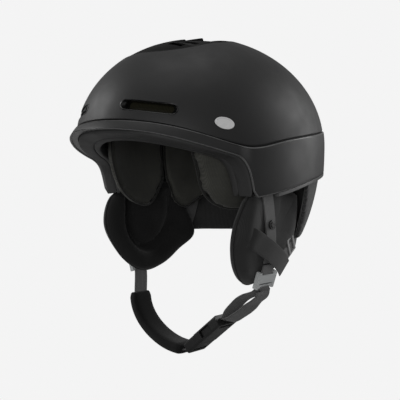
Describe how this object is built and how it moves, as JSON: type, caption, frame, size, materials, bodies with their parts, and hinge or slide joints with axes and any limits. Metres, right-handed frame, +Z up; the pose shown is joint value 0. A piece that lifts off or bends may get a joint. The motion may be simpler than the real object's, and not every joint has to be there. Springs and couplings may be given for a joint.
{
  "type": "ski helmet",
  "caption": "Ski helmet with matte two-part shell, short brim, padded ear pads, nape dial, sliding crown vent, goggle clip and buckled chin strap.",
  "frame": {"origin": "middle of the head opening, level with the bottom of the shell at the temples", "axes": "+Z up through the crown, -Y the front, +X the wearer's left"},
  "size_m": [0.22, 0.2882, 0.3158],
  "materials": {
    "shell_matte": "matte soft-touch lacquer",
    "lower_shell_matte": "matte soft-touch lacquer",
    "rim_bead": "satin moulded bead",
    "vent_gloss": "gloss moulded plastic",
    "foam": "expanded polystyrene, black",
    "trim_soft": "satin moulded elastomer",
    "liner_fabric": "brushed knit",
    "ear_fabric": "tight woven face cloth",
    "ear_fleece": "short fleece",
    "neck_fabric": "ribbed stretch cloth",
    "webbing": "ribbed polyester webbing",
    "keeper_fabric": "soft elastic band",
    "chin_fleece": "neoprene with fleece",
    "divider_grey": "satin light grey acetal",
    "buckle_black": "satin black acetal",
    "dial_black": "fine moulded texture",
    "nylon_black": "moulded nylon",
    "steel": "zinc plated",
    "badge_grey": "satin light grey"
  },
  "bodies": {
    "helmet": {"upper_shell": "shell_matte", "lower_shell": "lower_shell_matte", "rim_trim": "rim_bead", "foam_liner": "foam", "brim_trim": "trim_soft", "crown_vent_frame": "vent_gloss", "brow_pad": "liner_fabric", "crown_pad": "liner_fabric", "nape_pad": "liner_fabric", "neck_roll": "neck_fabric", "chin_strap_left": "webbing", "chin_strap_tail": "webbing", "chin_strap_right": "webbing", "chin_pad": "chin_fleece", "buckle_socket": "buckle_black", "fit_housing": "nylon_black", "fit_cover": "nylon_black", "housing_screws": "steel", "fit_hanger": "nylon_black", "detent_spring": "steel", "goggle_clip_base": "nylon_black", "goggle_clip_pin": "steel", "badge": "badge_grey", "strap_anchors": "nylon_black", "snap_studs": "nylon_black", "strap_slides": "divider_grey", "front_vent_left": "vent_gloss", "front_vent_right": "vent_gloss", "rear_vent_left": "vent_gloss", "rear_vent_right": "vent_gloss", "side_pad_front_left": "liner_fabric", "side_pad_front_right": "liner_fabric", "side_pad_rear_left": "liner_fabric", "side_pad_rear_right": "liner_fabric", "ear_cover_left": "ear_fabric", "ear_cover_right": "ear_fabric", "ear_cushion_left": "ear_fleece", "ear_cushion_right": "ear_fleece", "ear_mesh_left": "liner_fabric", "ear_mesh_right": "liner_fabric", "front_strap_left": "webbing", "front_strap_right": "webbing", "rear_strap_left": "webbing", "rear_strap_right": "webbing", "strap_keeper_left": "keeper_fabric", "strap_keeper_right": "keeper_fabric"},
    "vent_slide": {"vent_shutter": "vent_gloss", "vent_slider": "vent_gloss"},
    "dial": {"fit_dial": "dial_black", "fit_pinion": "nylon_black", "dial_screw": "steel"},
    "band_left": {"fit_band_left": "nylon_black"},
    "band_right": {"fit_band_right": "nylon_black"},
    "goggle_flap": {"goggle_clip_flap": "nylon_black"},
    "divider_left": {"strap_divider_left": "divider_grey"},
    "divider_right": {"strap_divider_right": "divider_grey"},
    "plug": {"buckle_plug": "buckle_black"},
    "prong_front": {"buckle_prong_front": "buckle_black"},
    "prong_back": {"buckle_prong_back": "buckle_black"}
  },
  "joints": [
    {"name": "vent_slide", "type": "hinge", "parent": "helmet", "child": "vent_slide", "pos_m": [0, -0.0009, -0.0157], "axis": [-1, 0, 0], "range_deg": [0, 3.1]},
    {"name": "dial_turn", "type": "hinge", "parent": "helmet", "child": "dial", "pos_m": [0, 0.12, -0.008], "axis": [0, 1, 0], "range_deg": [0, 95.4]},
    {"name": "band_left_draw", "type": "slide", "parent": "helmet", "child": "band_left", "axis": [-1, 0, 0], "range_m": [0, 0.008]},
    {"name": "band_right_draw", "type": "slide", "parent": "helmet", "child": "band_right", "axis": [1, 0, 0], "range_m": [0, 0.008]},
    {"name": "goggle_flap_open", "type": "hinge", "parent": "helmet", "child": "goggle_flap", "pos_m": [0, 0.1396, 0.064], "axis": [1, 0, 0], "range_deg": [0, 75]},
    {"name": "divider_left_slide", "type": "slide", "parent": "helmet", "child": "divider_left", "axis": [-0.3231, 0, -0.9464], "range_m": [0, 0.003]},
    {"name": "divider_right_slide", "type": "slide", "parent": "helmet", "child": "divider_right", "axis": [0.3231, 0, -0.9464], "range_m": [0, 0.003]},
    {"name": "buckle_release", "type": "slide", "parent": "helmet", "child": "plug", "axis": [-0.7741, 0, -0.6331], "range_m": [0, 0.024], "deforming": ["chin_pad", "chin_strap_right"]},
    {"name": "prong_front_press", "type": "hinge", "parent": "plug", "child": "prong_front", "pos_m": [0.01158, -0.024, -0.14106], "axis": [-0.6331, 0, 0.7741], "range_deg": [0, 6], "stiffness_Nm_per_rad": 0.02},
    {"name": "prong_back_press", "type": "hinge", "parent": "plug", "child": "prong_back", "pos_m": [0.01158, -0.006, -0.14106], "axis": [0.6331, 0, -0.7741], "range_deg": [0, 6], "stiffness_Nm_per_rad": 0.02}
  ],
  "couplings": [
    {"joint": "band_left_draw", "follows": "dial_turn", "m_per_rad": 0.0048},
    {"joint": "band_right_draw", "follows": "dial_turn", "m_per_rad": 0.0048},
    {"joint": "prong_back_press", "follows": "prong_front_press", "ratio": 1}
  ]
}
